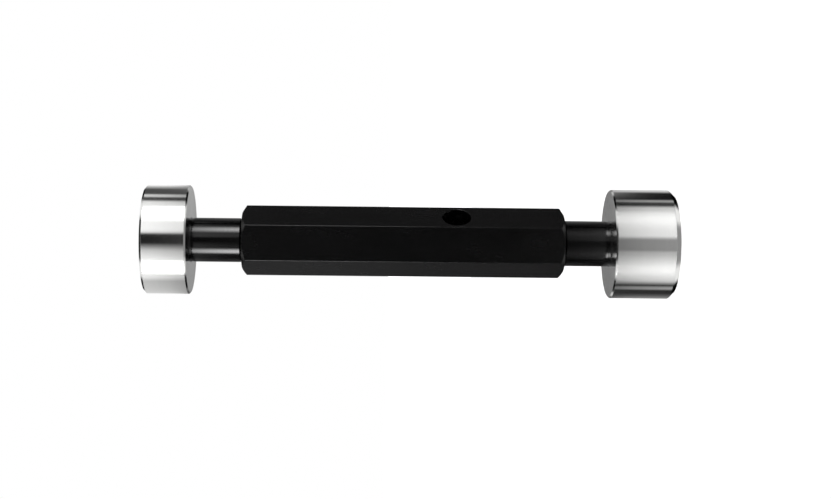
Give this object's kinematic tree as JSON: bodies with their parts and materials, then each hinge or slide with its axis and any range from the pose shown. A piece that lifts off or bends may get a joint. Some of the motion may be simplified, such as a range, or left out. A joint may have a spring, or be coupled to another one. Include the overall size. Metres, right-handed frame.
{
  "type": "double-ended plug gauge",
  "caption": "Double-ended plug gauge: long GO head and short NO-GO head of ground steel on black necks, locked by tapers in a black hexagonal handle.",
  "frame": {"origin": "centre of the GO head's outer face, on which the gauge stands", "axes": "+Z along the gauge's axis, from the GO head to the NO-GO head; -Y out of the flat with the drift hole"},
  "size_m": [0.025, 0.025, 0.1211],
  "materials": {
    "handle_black": "satin black anodised, machined hexagon",
    "gauge_steel": "hardened steel, head ground and lapped bright, neck oxide black"
  },
  "bodies": {
    "root": {"handle": "handle_black", "go_member": "gauge_steel", "no_go_member": "gauge_steel"}
  },
  "joints": []
}
